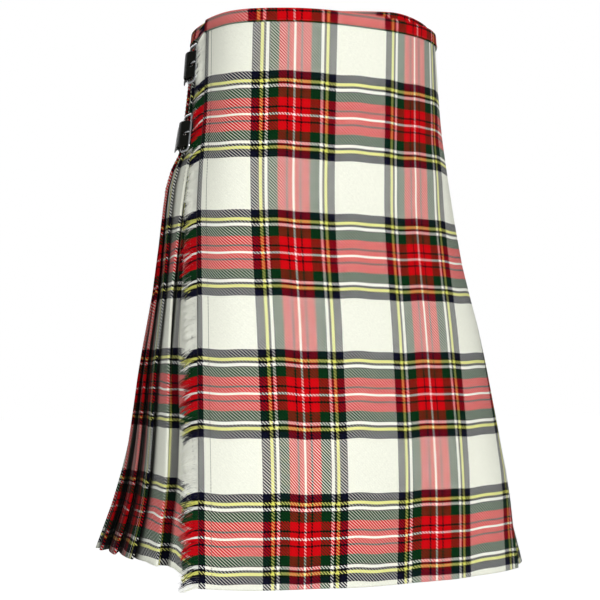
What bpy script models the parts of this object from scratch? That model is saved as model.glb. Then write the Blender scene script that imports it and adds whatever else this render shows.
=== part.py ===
# A pleated wrap kilt, worn and hollow, fastened with three leather straps.
# Metres, +Z up. The front faces -Y and the wearer's left is +X. The origin is the middle of the
# waist, level with the top edge of the cloth.
# A place on the cloth is given by its station (arc length round the form from the centre front,
# growing towards the wearer's left and on round the back), its distance down the cloth from the
# waist edge, and its lift, the height of a wall's middle above the form.
import math

import bmesh
import bpy
import numpy as np
from mathutils import Vector

CLOTH_LENGTH = 0.6155
CLOTH_WALL = 0.0012
SEAM_GAP = 0.0003
LAYER = CLOTH_WALL + SEAM_GAP
FOLD_LAYER = LAYER + 0.0004
FOLD_CORNER = 0.0003

# The form that the under apron wraps: one oval for each distance down the cloth.
FORM_COLUMNS = ("down", "half_width", "front_depth", "back_depth")
FORM = (
    (0.000, 0.1275, 0.1150, 0.1060),
    (0.100, 0.1375, 0.1125, 0.1150),
    (0.200, 0.1540, 0.1115, 0.1240),
    (0.350, 0.1765, 0.1315, 0.1430),
    (0.500, 0.2000, 0.1480, 0.1690),
    (0.6155, 0.2330, 0.1470, 0.1980),
)
OVAL_POWER = 2.7
OVAL_STEPS = 720
DOWN_STEPS = 64

# Aprons.
APRON_RIGHT = 0.185
APRON_LEFT_TOP = 0.183
APRON_LEFT_SPREAD = 0.018
APRON_COLUMNS = 30
APRON_RISE_RIGHT = (-0.150, -0.085)
APRON_RISE_LEFT = 0.085
UNDER_COLUMNS = (2, 28)
UNDER_SETTLE = -0.105

# Knife pleats, from the left hip round the back to the right hip, sewn down as far as the fell.
PLEATS = 22
LEFT_HALF = 11
LAST_FOLD = 0.163
FELL = 0.190
UNDERFOLD_SHARE = 0.5
PLEAT_COLUMNS = ("down", "height")
PLEAT_HEIGHTS = ((0.0, 0.0060), (0.190, 0.0064), (0.300, 0.0085), (0.450, 0.0115), (0.6155, 0.0145))
TUCKED_HEIGHT = 0.0067
SWAY = 0.0032
HEIGHT_SWAY = 0.13
LEVELS = (0.0, 0.040, 0.085, 0.130, 0.175, 0.225, 0.290, 0.360, 0.435, 0.505, 0.565, CLOTH_LENGTH)

# Waistband, a strip folded over the top edge.
BAND_DEPTH = 0.0130
BAND_TURN = 0.02

# Fringe along the right edge of the over apron.
FRINGE_LOCKS = 114
FRINGE_STRIP = 0.0026
FRINGE_LENGTH = 0.0115
FRINGE_DROOP = 0.0050
LOCK_SHARE = 0.64
RAGGED = 0.12
LOCK_TAPER = 0.75
LOCK_BENDS = ((0.5, 0.22), (1.0, 1.0))

# Straps and buckles: distances back from the apron's edge, and heights above the pleats.
STRAP_WIDTH = 0.030
STRAP_WALL = 0.0016
CHAPE_WALL = 0.0012
WIRE = 0.0015
PRONG_WIRE = 0.0010
FRONT_BAR = 0.0190
HEEL_BAR = 0.0430
FRAME_HALF_HEIGHT = 0.0205
FRAME_CORNER = 0.0055
CHAPE_END = 0.0720
STRAP_END = 0.0880
LEG_STEP = 0.005
STRAP_HIDDEN = -0.014
STRAP_FROM_FOLD = 0.0008
STRAP_CLIMB = ((0.10, 0.0), (0.38, 0.12), (0.46, 0.30), (0.68, 0.88), (0.76, 0.98), (0.90, 1.0))
PRONG_STEP = 2
HOLE_HALF = 0.0022
HOLE_PITCH = 0.0125
FIRST_HOLE = 0.0175
LAST_HOLE = 0.0120
TIP_LENGTH = 0.0090
TIP_SHOULDER = 0.55
TIP_CUT = ((0, 0.92), (1, 0.42), (4, 0.42), (5, 0.92))
SLOT_HALF = 0.0030
BEND = 0.004
STRAP_LANDS = 0.013
CHAPE_LANDS = 0.011
LOOP_ANGLES = (-100, -140, -180, -220, -270)
LOOP_SHOULDER = 53
EYE_ANGLES = range(205, 516, 31)
CORNER_STEPS = 4
EYE = WIRE + SEAM_GAP + PRONG_WIRE
BAR_HEIGHT = SEAM_GAP + PRONG_WIRE + EYE
STRAP_UNDER = SEAM_GAP + STRAP_WALL / 2
STRAP_OVER = BAR_HEIGHT + EYE + PRONG_WIRE + SEAM_GAP + STRAP_WALL / 2
STRAP_LYING = SEAM_GAP + 2 * (CHAPE_WALL + SEAM_GAP) + STRAP_WALL / 2
# Name, side of the body (-1 right, 1 left), and distance down the cloth of each strap's middle.
STRAPS = (("upper_right", -1, 0.0420), ("lower_right", -1, 0.1220), ("left", 1, 0.0420))


def smooth(table, columns, name, value):
    """A named column of a table, read along a smooth curve through its rows."""
    knots = np.array([row[0] for row in table])
    heights = np.array([row[columns.index(name)] for row in table])
    slopes = np.gradient(heights, knots)
    value = min(max(value, knots[0]), knots[-1])
    row = min(int(np.searchsorted(knots, value, side="right")) - 1, len(knots) - 2)
    span = knots[row + 1] - knots[row]
    t = (value - knots[row]) / span
    rise = heights[row] * (1 + 2 * t) * (1 - t) ** 2 + heights[row + 1] * t * t * (3 - 2 * t)
    return rise + span * (slopes[row] * t * (1 - t) ** 2 - slopes[row + 1] * t * t * (1 - t))


def ease(value, start, end):
    """0 before start, 1 after end, and a smooth step between them."""
    t = np.clip((value - start) / (end - start), 0, 1)
    return t * t * (3 - 2 * t)


def oval(down):
    """The form's outline at a distance down the cloth, from the centre back round to itself."""
    half_width, front, back = (smooth(FORM, FORM_COLUMNS, name, down) for name in FORM_COLUMNS[1:])
    angle = np.linspace(-math.pi, math.pi, OVAL_STEPS + 1)
    sine, cosine = np.sin(angle), np.cos(angle)
    across = np.sign(sine) * np.abs(sine) ** (2 / OVAL_POWER)
    along = np.sign(cosine) * np.abs(cosine) ** (2 / OVAL_POWER)
    return np.stack([half_width * across, -np.where(cosine > 0, front, back) * along], axis=1)


def fall_of_the_cloth():
    """How far each line down the cloth has fallen at each step: less where the form spreads."""
    step = CLOTH_LENGTH / DOWN_STEPS
    falls = [np.zeros(OVAL_STEPS + 1)]
    before = oval(0)
    for row in range(1, DOWN_STEPS + 1):
        outline = oval(row * step)
        spread = np.linalg.norm(outline - before, axis=1)
        falls.append(falls[-1] + np.sqrt(np.maximum(step * step - spread * spread, 0)))
        before = outline
    return np.array(falls)


FALLS = fall_of_the_cloth()


def arc_lengths(outline):
    """Arc length of each outline point from the centre front, and the length all round."""
    steps = np.linalg.norm(np.diff(outline, axis=0), axis=1)
    lengths = np.concatenate([[0], np.cumsum(steps)])
    return lengths - lengths[OVAL_STEPS // 2], lengths[-1]


def girth(down):
    return arc_lengths(oval(down))[1]


def row_on_form(stations, lifts, down):
    """Points over the form at one distance down the cloth."""
    outline = oval(down)
    lengths, around = arc_lengths(outline)
    stations = np.asarray(stations, dtype=float)
    wrapped = (stations - lengths[0]) % around + lengths[0]
    place = np.interp(wrapped, lengths, np.arange(OVAL_STEPS + 1))
    first = np.minimum(place.astype(int), OVAL_STEPS - 1)
    part = (place - first)[:, None]
    points = outline[first] * (1 - part) + outline[first + 1] * part
    tangents = np.gradient(outline[:-1], axis=0)
    tangents[0] = tangents[-1] = outline[1] - outline[-2]
    tangents = np.vstack([tangents, tangents[:1]])
    along = tangents[first] * (1 - part) + tangents[first + 1] * part
    along /= np.linalg.norm(along, axis=1)[:, None]
    outward = np.stack([along[:, 1], -along[:, 0]], axis=1)
    points = points + outward * np.asarray(lifts, dtype=float)[:, None]
    level = max(down, 0) / CLOTH_LENGTH * DOWN_STEPS
    above = min(int(level), DOWN_STEPS - 1)
    falls = FALLS[above] * (1 - level + above) + FALLS[above + 1] * (level - above)
    fall = np.interp(place, np.arange(OVAL_STEPS + 1), falls) + min(down, 0)
    return np.column_stack([points, -fall])


def point_on_form(station, lift, down):
    return Vector(row_on_form([station], [lift], down)[0])


def opened(down):
    """How free the pleats hang: 0 above the fell, 1 at the hem."""
    return float(ease(down, FELL, CLOTH_LENGTH))


def left_edge(down):
    return APRON_LEFT_TOP + APRON_LEFT_SPREAD * (down / CLOTH_LENGTH) ** 2


def reveal(down):
    """The width of a pleat that shows."""
    return (girth(down) - LAST_FOLD - left_edge(down)) / PLEATS


def fold_station(pleat, down):
    """The outer fold of a pleat. The pleats hang a little unevenly below the fell."""
    free = opened(down) * math.sin(math.pi * pleat / PLEATS)
    return left_edge(down) + pleat * reveal(down) + SWAY * free * math.sin(2.3 * pleat + 0.7)


def pleat_height(pleat, down):
    """How far a pleat's outer fold stands above its hidden start."""
    height = smooth(PLEAT_HEIGHTS, PLEAT_COLUMNS, "height", down)
    if pleat >= PLEATS - 1:
        return min(height, TUCKED_HEIGHT)
    return height * (1 + HEIGHT_SWAY * opened(down) * math.sin(1.9 * pleat + 1.0))


def underfold(down):
    return UNDERFOLD_SHARE * reveal(down)


def fold_lines(pleat, down):
    """The turned edge of a pleat: out over the fold, and back to its hidden inner fold."""
    fold = fold_station(pleat, down)
    top = LAYER + pleat_height(pleat, down)
    return [(fold, top), (fold, top - FOLD_LAYER), (fold - underfold(down), LAYER + FOLD_LAYER)]


def pleat_line(first, last, down):
    """Stations and lifts of a run of pleats: each face slants out from under the one before."""
    line = []
    for pleat in range(first, last + 1):
        under_last = fold_station(pleat - 1, down)
        fold = fold_station(pleat, down)
        start = under_last - underfold(down)
        turn = fold - underfold(down)
        height = pleat_height(pleat, down)
        for station in (start, under_last, turn):
            line.append((station, LAYER + height * (station - start) / (fold - start)))
        line.extend(fold_lines(pleat, down))
    return line


def pleats_top(down):
    """The outermost surface of the pleats where the straps and the band lie on them."""
    return LAYER + smooth(PLEAT_HEIGHTS, PLEAT_COLUMNS, "height", down) + CLOTH_WALL / 2


def apron_lift(station, down):
    """The over apron rises at the right over the last pleats and the straps, and at the left fold."""
    over_straps = FOLD_CORNER + 3 * SEAM_GAP + STRAP_WALL + CLOTH_WALL / 2
    tucked = LAYER + min(smooth(PLEAT_HEIGHTS, PLEAT_COLUMNS, "height", down), TUCKED_HEIGHT) + CLOTH_WALL / 2
    right = tucked + over_straps
    left = LAYER + pleat_height(0, down)
    rise_right = 1 - ease(station, *APRON_RISE_RIGHT)
    rise_left = np.clip((station - APRON_RISE_LEFT) / (left_edge(down) - APRON_RISE_LEFT), 0, 1)
    return LAYER + (right - LAYER) * rise_right + (left - LAYER) * rise_left


def apron_stations(down):
    return np.linspace(-APRON_RIGHT, left_edge(down), APRON_COLUMNS)


def over_apron_line(down):
    line = [(station, float(apron_lift(station, down))) for station in apron_stations(down)[:-1]]
    return line + fold_lines(0, down)


def under_apron_line(down):
    """From the last pleat's inner fold at the right hip to just short of the left edge."""
    stations = [-LAST_FOLD - underfold(down), *apron_stations(down)[slice(*UNDER_COLUMNS)]]
    return [(station, LAYER * float(1 - ease(station, -LAST_FOLD, UNDER_SETTLE))) for station in stations]


# Scene, materials and meshes.


def clear_scene():
    for old in list(bpy.data.objects):
        bpy.data.objects.remove(old, do_unlink=True)


def material(name, color, roughness, metallic=0.0):
    made = bpy.data.materials.new(name)
    made.use_nodes = True
    shader = made.node_tree.nodes["Principled BSDF"]
    shader.inputs["Base Color"].default_value = (*color, 1)
    shader.inputs["Roughness"].default_value = roughness
    shader.inputs["Metallic"].default_value = metallic
    made.diffuse_color = (*color, 1)
    return made


def add_object(name, data, finish, collection):
    made = bpy.data.objects.new(name, data)
    collection.objects.link(made)
    data.materials.append(finish)
    return made


def sheet(name, rows, wall, finish, collection, holes=()):
    """A wall of even thickness on a grid of points. holes lists the (row, column) cells left out."""
    work = bmesh.new()
    grid = [[work.verts.new(point) for point in row] for row in rows]
    for r in range(len(grid) - 1):
        for c in range(len(grid[r]) - 1):
            if (r, c) not in holes:
                work.faces.new((grid[r][c], grid[r + 1][c], grid[r + 1][c + 1], grid[r][c + 1]))
    mesh = bpy.data.meshes.new(name)
    work.to_mesh(mesh)
    work.free()
    made = add_object(name, mesh, finish, collection)
    solidify = made.modifiers.new("wall", "SOLIDIFY")
    solidify.thickness = wall
    solidify.offset = 0
    solidify.use_even_offset = True
    return made


def cloth_panel(name, line_at, finish, collection):
    """A panel of cloth: line_at gives its (station, lift) places at a distance down the cloth."""
    rows = []
    for down in LEVELS:
        stations, lifts = zip(*line_at(down))
        rows.append(row_on_form(stations, lifts, down))
    return sheet(name, rows, CLOTH_WALL, finish, collection)


def waistband(finish, collection):
    """A strip over the top edge, from the fringed edge round the front, left hip and back."""
    folds = [fold_station(pleat / 2, 0) for pleat in range(1, 2 * PLEATS + 1)]
    stations = np.concatenate([apron_stations(0), folds])
    edge = left_edge(0)
    carried = np.where(stations < edge, apron_lift(stations, 0), LAYER + pleat_height(0, 0))
    inner = carried + (LAYER - carried) * ease(stations, edge - BAND_TURN, edge)
    over = -(SEAM_GAP + CLOTH_WALL / 2)
    rows = [row_on_form(stations, inner - CLOTH_WALL / 2, over)]
    for down in (over, BAND_DEPTH / 2, BAND_DEPTH):
        rows.append(row_on_form(stations, carried + LAYER + FOLD_CORNER, down))
    return sheet("waistband", rows, CLOTH_WALL, finish, collection)


def fringe(finish, collection):
    """Locks of thread that hang from a narrow strip along the over apron's right edge."""
    pitch = CLOTH_LENGTH / FRINGE_LOCKS
    margin = pitch * (1 - LOCK_SHARE) / 2
    inner = -APRON_RIGHT - 2 * SEAM_GAP
    outer = inner - FRINGE_STRIP
    work = bmesh.new()
    rings = []
    for lock in range(FRINGE_LOCKS):
        for down in (lock * pitch + margin, (lock + 1) * pitch - margin):
            lift = float(apron_lift(-APRON_RIGHT, down))
            lifts = [lift - CLOTH_WALL / 2, lift + CLOTH_WALL / 2] * 2
            corners = row_on_form([inner, inner, outer, outer], lifts, down)
            rings.append([work.verts.new(corners[i]) for i in (0, 1, 3, 2)])
    for upper, lower in zip(rings, rings[1:]):
        for side in range(4):
            after = (side + 1) % 4
            work.faces.new((upper[side], upper[after], lower[after], lower[side]))
    work.faces.new(rings[0][::-1])
    work.faces.new(rings[-1])
    work.faces.ensure_lookup_table()
    outer_side = 2
    roots = [work.faces[8 * lock + outer_side] for lock in range(FRINGE_LOCKS)]
    for lock, face in enumerate(roots):
        length = FRINGE_LENGTH * (1 + RAGGED * math.sin(2.7 * lock))
        down = (lock + 0.5) * pitch
        for share, droop in LOCK_BENDS:
            face = bmesh.ops.extrude_discrete_faces(work, faces=[face])["faces"][0]
            middle = face.calc_center_median()
            reach = down + FRINGE_DROOP * droop
            lift = float(apron_lift(-APRON_RIGHT, reach))
            target = point_on_form(outer - length * share, lift, min(reach, CLOTH_LENGTH))
            target.z -= max(reach - CLOTH_LENGTH, 0)
            for vert in face.verts:
                vert.co = target + (vert.co - middle) * LOCK_TAPER
    bmesh.ops.recalc_face_normals(work, faces=work.faces)
    mesh = bpy.data.meshes.new("apron_fringe")
    work.to_mesh(mesh)
    work.free()
    return add_object("apron_fringe", mesh, finish, collection)


def leg(start, end, height):
    """A flat stretch of leather, in short enough steps to follow the form."""
    steps = math.ceil(abs(end - start) / LEG_STEP)
    return [(back, height) for back in np.linspace(start, end, steps + 1)]


class Fastening:
    """One strap with its buckle, laid on the pleats behind an edge of the over apron."""

    def __init__(self, name, side, down):
        self.name, self.side, self.down = name, side, down
        self.base = pleats_top(down + STRAP_WIDTH / 2) + FOLD_CORNER

    def station(self, back, down):
        edge = -APRON_RIGHT if self.side < 0 else left_edge(down)
        return edge + self.side * back

    def place(self, back, width, height):
        """A point by its distance back from the edge, down the cloth, and above the pleats."""
        down = self.down + width
        return point_on_form(self.station(back, down), self.base + height, down)

    def rows(self, line, widths):
        """Rows of points along a line of (back, height) places, one column a width."""
        return [[self.place(back, width, height) for width in widths] for back, height in line]

    def strap(self, finish, collection):
        """The strap: under the front bar, up through the frame, over the heel bar, to a point."""
        rise, span = STRAP_OVER - STRAP_UNDER, HEEL_BAR - FRONT_BAR
        start = STRAP_HIDDEN if self.side < 0 else STRAP_FROM_FOLD
        line = leg(start, FRONT_BAR - BEND, STRAP_UNDER)
        line += [(FRONT_BAR + share * span, STRAP_UNDER + up * rise) for share, up in STRAP_CLIMB]
        prong_cell = len(line) - len(STRAP_CLIMB) + PRONG_STEP
        line += [(HEEL_BAR + BEND, STRAP_OVER), (HEEL_BAR + STRAP_LANDS, STRAP_LYING)]
        holes = []
        for hole in np.arange(HEEL_BAR + FIRST_HOLE, STRAP_END - LAST_HOLE, HOLE_PITCH):
            holes.append(len(line))
            line += [(hole - HOLE_HALF, STRAP_LYING), (hole + HOLE_HALF, STRAP_LYING)]
        line += [(STRAP_END - TIP_LENGTH, STRAP_LYING), (STRAP_END, STRAP_LYING)]
        half = STRAP_WIDTH / 2
        shoulder = TIP_SHOULDER * half
        widths = (-half, -shoulder, -HOLE_HALF, HOLE_HALF, shoulder, half)
        rows = self.rows(line, widths)
        for column, share in TIP_CUT:
            rows[-1][column] = rows[-1][column].lerp(rows[-2][column], share)
        cells = {(row, 2) for row in [prong_cell, *holes]}
        return sheet("strap_" + self.name, rows, STRAP_WALL, finish, collection, cells)

    def chape(self, finish, collection):
        """The leather loop that holds the buckle's heel bar, slotted for the prong's eye."""
        low = SEAM_GAP + CHAPE_WALL / 2
        upper = low + CHAPE_WALL + SEAM_GAP
        loop = WIRE + SEAM_GAP + CHAPE_WALL / 2
        line = leg(CHAPE_END, HEEL_BAR + BEND, low)
        slot_start = len(line) - 1
        for angle in LOOP_ANGLES:
            turn = math.radians(angle)
            line.append((HEEL_BAR + loop * math.cos(turn), BAR_HEIGHT + loop * math.sin(turn)))
        line += [(HEEL_BAR + BEND, BAR_HEIGHT + loop * math.sin(math.radians(LOOP_SHOULDER)))]
        slot_end = len(line) - 1
        line += leg(HEEL_BAR + CHAPE_LANDS, CHAPE_END - BEND, upper)
        rows = self.rows(line, (-STRAP_WIDTH / 2, -SLOT_HALF, SLOT_HALF, STRAP_WIDTH / 2))
        cells = {(row, 1) for row in range(slot_start, slot_end)}
        return sheet("chape_" + self.name, rows, CHAPE_WALL, finish, collection, cells)

    def frame(self, finish, collection):
        """The buckle's frame, a rounded rectangle of round wire."""
        middle = (FRONT_BAR + HEEL_BAR) / 2
        straight_back = (HEEL_BAR - FRONT_BAR) / 2 - FRAME_CORNER
        straight_down = FRAME_HALF_HEIGHT - FRAME_CORNER
        points = []
        for corner, (x, y) in enumerate(((1, 1), (-1, 1), (-1, -1), (1, -1))):
            for part in range(CORNER_STEPS):
                turn = math.radians(90 * (corner + part / (CORNER_STEPS - 1)))
                back = middle + x * straight_back + FRAME_CORNER * math.cos(turn)
                width = y * straight_down + FRAME_CORNER * math.sin(turn)
                points.append(self.place(back, width, BAR_HEIGHT))
        return wire("buckle_" + self.name, points, WIRE, True, finish, collection)

    def prong(self, finish, collection):
        """The prong: an eye round the heel bar, then up through the strap to the front bar."""
        rest = BAR_HEIGHT + EYE
        line = []
        for angle in EYE_ANGLES:
            turn = math.radians(angle)
            line.append((HEEL_BAR + EYE * math.cos(turn), BAR_HEIGHT + EYE * math.sin(turn)))
        line += [(HEEL_BAR - 1.5 * BEND, BAR_HEIGHT + WIRE), (FRONT_BAR + BEND, rest)]
        line += [(FRONT_BAR - PRONG_WIRE, rest)]
        points = [self.place(back, 0, height) for back, height in line]
        return wire("prong_" + self.name, points, PRONG_WIRE, False, finish, collection)


def wire(name, points, radius, closed, finish, collection):
    """A round wire through the points: a closed ring, or one with capped ends."""
    curve = bpy.data.curves.new(name, "CURVE")
    curve.dimensions = "3D"
    curve.bevel_depth = radius
    curve.bevel_resolution = 2
    curve.use_fill_caps = not closed
    spline = curve.splines.new("POLY")
    spline.points.add(len(points) - 1)
    for knot, point in zip(spline.points, points):
        knot.co = (*point, 1)
    spline.use_cyclic_u = closed
    return add_object(name, curve, finish, collection)


def main():
    clear_scene()
    kilt = bpy.data.collections.new("kilt")
    bpy.context.scene.collection.children.link(kilt)
    tartan = material("tartan wool", (0.80, 0.76, 0.66), 0.85)
    leather = material("black leather", (0.02, 0.02, 0.02), 0.45)
    chrome = material("polished steel", (0.75, 0.76, 0.78), 0.15, 1.0)

    cloth_panel("over_apron", over_apron_line, tartan, kilt)
    cloth_panel("under_apron", under_apron_line, tartan, kilt)
    cloth_panel("pleats_left", lambda down: pleat_line(1, LEFT_HALF, down), tartan, kilt)
    cloth_panel("pleats_right", lambda down: pleat_line(LEFT_HALF + 1, PLEATS, down), tartan, kilt)
    waistband(tartan, kilt)
    fringe(tartan, kilt)
    for name, side, down in STRAPS:
        fastening = Fastening(name, side, down)
        fastening.strap(leather, kilt)
        fastening.chape(leather, kilt)
        fastening.frame(chrome, kilt)
        fastening.prong(chrome, kilt)


main()
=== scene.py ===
# Scottish kilt, worn and hollow: cloth, fringe, sewing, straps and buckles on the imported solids
import math

import bpy
import numpy as np
from mathutils import Matrix, Vector


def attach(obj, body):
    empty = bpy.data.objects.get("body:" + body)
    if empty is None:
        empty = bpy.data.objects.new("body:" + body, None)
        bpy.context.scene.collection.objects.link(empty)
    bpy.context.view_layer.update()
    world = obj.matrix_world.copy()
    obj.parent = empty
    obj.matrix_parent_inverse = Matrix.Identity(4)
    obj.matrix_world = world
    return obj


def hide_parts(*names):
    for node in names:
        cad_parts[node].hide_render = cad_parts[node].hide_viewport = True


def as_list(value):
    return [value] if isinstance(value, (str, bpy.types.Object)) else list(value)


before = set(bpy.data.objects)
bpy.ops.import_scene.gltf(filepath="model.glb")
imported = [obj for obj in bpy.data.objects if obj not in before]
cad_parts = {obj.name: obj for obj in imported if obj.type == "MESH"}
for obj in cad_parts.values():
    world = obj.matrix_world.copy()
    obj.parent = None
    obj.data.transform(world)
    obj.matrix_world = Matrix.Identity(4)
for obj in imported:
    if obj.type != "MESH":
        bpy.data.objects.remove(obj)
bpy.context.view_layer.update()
chance = np.random.default_rng(22)


def addObject(name, data):
    made = bpy.data.objects.new(name, data)
    bpy.context.scene.collection.objects.link(made)
    return made


# Camera, level with the wearer's thighs and round on the wearer's right

camera = {
    "place": (-0.7228, -1.4949, -0.4028),
    "azimuth": 26.59,
    "tiltUp": 0.46,
    "roll": 0.18,
    "focalPixels": 1442.3,
    "imagePixels": 600,
    "centrePixel": (332.7, 376),
    "sensor": 36.0,
    "clip": (0.05, 200),
}


def addCamera():
    data = bpy.data.cameras.new("camera")
    made = addObject("camera", data)
    data.sensor_width = camera["sensor"]
    data.lens = camera["sensor"] * camera["focalPixels"] / camera["imagePixels"]
    half = camera["imagePixels"] / 2
    data.shift_x = (half - camera["centrePixel"][0]) / camera["imagePixels"]
    data.shift_y = (camera["centrePixel"][1] - half) / camera["imagePixels"]
    data.clip_start, data.clip_end = camera["clip"]
    turn = Matrix.Rotation(-math.radians(camera["azimuth"]), 4, "Z")
    turn @= Matrix.Rotation(math.radians(90 + camera["tiltUp"]), 4, "X")
    turn @= Matrix.Rotation(math.radians(camera["roll"]), 4, "Z")
    made.matrix_world = Matrix.Translation(camera["place"]) @ turn
    bpy.context.scene.camera = made


addCamera()
print("camera placed")


# The form under the cloth, as one oval for each distance down the cloth.
# A place on the cloth is a station (metres round the form from the centre front towards the
# wearer's left), a distance down the cloth, and a lift above the form.
# Each row of the form: distance down, half width, depth in front and depth behind

form = {
    "rows": (
        (0, 0.1275, 0.115, 0.106),
        (0.1, 0.1375, 0.1125, 0.115),
        (0.2, 0.154, 0.1115, 0.124),
        (0.35, 0.1765, 0.1315, 0.143),
        (0.5, 0.2, 0.148, 0.169),
        (0.6155, 0.233, 0.147, 0.198),
    ),
    "ovalPower": 2.7,
    "ovalSteps": 720,
    "fallSteps": 64,
    "levels": 256,
    "stationStep": 0.001,
    "stationRange": (-0.3, 1.32),
}

cloth = {
    "length": 0.6155,
    "wall": 0.0012,
    "seamGap": 0.0003,
    "foldSlack": 0.0004,
    "foldCorner": 0.0003,
}
layer = cloth["wall"] + cloth["seamGap"]
foldLayer = layer + cloth["foldSlack"]
clothLength = cloth["length"]


def smoothColumn(rows, column, value):
    # a column of a table, read along a smooth curve through its rows
    knots = np.array([row[0] for row in rows])
    heights = np.array([row[column] for row in rows])
    slopes = np.gradient(heights, knots)
    value = np.clip(np.asarray(value, dtype=float), knots[0], knots[-1])
    row = np.clip(np.searchsorted(knots, value, side="right") - 1, 0, len(knots) - 2)
    span = knots[row + 1] - knots[row]
    t = (value - knots[row]) / span
    rise = heights[row] * (1 + 2 * t) * (1 - t) ** 2 + heights[row + 1] * t * t * (3 - 2 * t)
    return rise + span * (slopes[row] * t * (1 - t) ** 2 - slopes[row + 1] * t * t * (1 - t))


def tableAt(rows, value):
    return np.interp(value, [row[0] for row in rows], [row[1] for row in rows])


def shares(count):
    return np.linspace(0, 1, count + 1)[:-1]


def unit(vectors):
    return vectors / np.linalg.norm(vectors, axis=-1)[..., None]


def walked(line):
    # the length walked along a line of points, to each of them
    steps = np.linalg.norm(np.diff(line, axis=0), axis=1)
    return np.concatenate([[0], np.cumsum(steps)])


def readAlong(line, knots, at):
    # the columns of a table read between its rows, which lie at the knots
    return np.stack([np.interp(at, knots, column) for column in line.T], axis=-1)


def ease(value, start, end):
    t = np.clip((value - start) / (end - start), 0, 1)
    return t * t * (3 - 2 * t)


def oval(down):
    half, front, back = (float(smoothColumn(form["rows"], i, down)) for i in (1, 2, 3))
    angle = np.linspace(-math.pi, math.pi, form["ovalSteps"] + 1)
    sine, cosine = np.sin(angle), np.cos(angle)
    across = np.sign(sine) * np.abs(sine) ** (2 / form["ovalPower"])
    along = np.sign(cosine) * np.abs(cosine) ** (2 / form["ovalPower"])
    return np.stack([half * across, -np.where(cosine > 0, front, back) * along], axis=1)


def arcLengths(outline):
    lengths = walked(outline)
    return lengths - lengths[form["ovalSteps"] // 2], lengths[-1]


def clothFalls():
    # how far each line down the cloth has fallen: less where the form spreads
    step = clothLength / form["fallSteps"]
    falls = [np.zeros(form["ovalSteps"] + 1)]
    before = oval(0)
    for row in range(1, form["fallSteps"] + 1):
        outline = oval(row * step)
        spread = np.linalg.norm(outline - before, axis=1)
        falls.append(falls[-1] + np.sqrt(np.maximum(step * step - spread * spread, 0)))
        before = outline
    return np.array(falls)


def formTables():
    # points and outward directions of the form, on an even grid of distances down and stations
    first, last = form["stationRange"]
    stations = np.arange(first, last + form["stationStep"] / 2, form["stationStep"])
    falls = clothFalls()
    index = np.arange(form["ovalSteps"] + 1)
    points, outward, rounds = [], [], []
    for level in np.linspace(0, 1, form["levels"] + 1):
        outline = oval(level * clothLength)
        lengths, around = arcLengths(outline)
        place = np.interp((stations - lengths[0]) % around + lengths[0], lengths, index)
        tangent = np.gradient(outline[:-1], axis=0)
        tangent[0] = outline[1] - outline[-2]
        tangent = np.vstack([tangent, tangent[:1]])
        step = level * form["fallSteps"]
        above = min(int(step), form["fallSteps"] - 1)
        fall = falls[above] * (1 - step + above) + falls[above + 1] * (step - above)
        points.append(readAlong(np.column_stack([outline, -fall]), index, place))
        along = unit(readAlong(tangent, index, place))
        outward.append(np.stack([along[:, 1], -along[:, 0]], axis=1))
        rounds.append(around)
    return np.array(points), np.array(outward), np.array(rounds)


formPoints, formOutward, formRounds = formTables()


def onForm(station, lift, down):
    # points at any places on the cloth, as an array with one row for each place
    places = (np.asarray(part, dtype=float) for part in (station, lift, down))
    station, lift, down = np.broadcast_arrays(*places)
    inside = np.clip(down, 0, clothLength)
    column = (station - form["stationRange"][0]) / form["stationStep"]
    row = inside / clothLength * form["levels"]
    c = np.clip(column.astype(int), 0, formPoints.shape[1] - 2)
    r = np.clip(row.astype(int), 0, formPoints.shape[0] - 2)
    x, y = (column - c)[..., None], (row - r)[..., None]

    def blend(table):
        upper = table[r, c] * (1 - x) + table[r, c + 1] * x
        lower = table[r + 1, c] * (1 - x) + table[r + 1, c + 1] * x
        return upper * (1 - y) + lower * y

    points = blend(formPoints)
    points[..., :2] += unit(blend(formOutward)) * lift[..., None]
    points[..., 2] -= down - inside
    return points


def outwardAt(station, down):
    low = onForm(station, 0.0, down)
    return onForm(station, 1.0, down) - low


def girth(down):
    return np.interp(down, np.linspace(0, clothLength, form["levels"] + 1), formRounds)


# Sizes of the aprons and pleats, and how each lies over the form

apron = {
    "right": 0.185,
    "leftTop": 0.183,
    "leftSpread": 0.018,
    "riseRight": (-0.15, -0.085),
    "riseLeft": 0.085,
    "underSettle": -0.105,
    "underSett": 0.008,
}

pleats = {
    "count": 22,
    "leftHalf": 11,
    "lastFold": 0.163,
    "fell": 0.19,
    "underfoldShare": 0.5,
    "heights": ((0, 0.006), (0.19, 0.0064), (0.3, 0.0085), (0.45, 0.0115), (0.6155, 0.0145)),
    "tuckedHeight": 0.0067,
    "sway": 0.0032,
    "swayTurn": (2.3, 0.7),
    "heightSway": 0.13,
    "heightTurn": (1.9, 1),
    "settStep": 0.025,
    # shade painted across each pleat's face, and how it grows down the cloth
    "hollow": ((0, 1), (0.34, 1), (0.42, 0.7), (0.52, 0.25), (0.66, 0)),
    "hollowDown": ((0, 0.3), (0.15, 0.35), (0.2, 0.6), (0.4, 0.85), (0.6155, 1)),
}


def opened(down):
    return ease(down, pleats["fell"], clothLength)


def leftEdge(down):
    return apron["leftTop"] + apron["leftSpread"] * (down / clothLength) ** 2


def reveal(down):
    return (girth(down) - pleats["lastFold"] - leftEdge(down)) / pleats["count"]


def swayed(pleat, turn, start=0.0):
    return math.sin(turn * pleat + start)


def foldStation(pleat, down):
    free = opened(down) * math.sin(math.pi * pleat / pleats["count"])
    sway = pleats["sway"] * free * swayed(pleat, *pleats["swayTurn"])
    return leftEdge(down) + pleat * reveal(down) + sway


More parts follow.
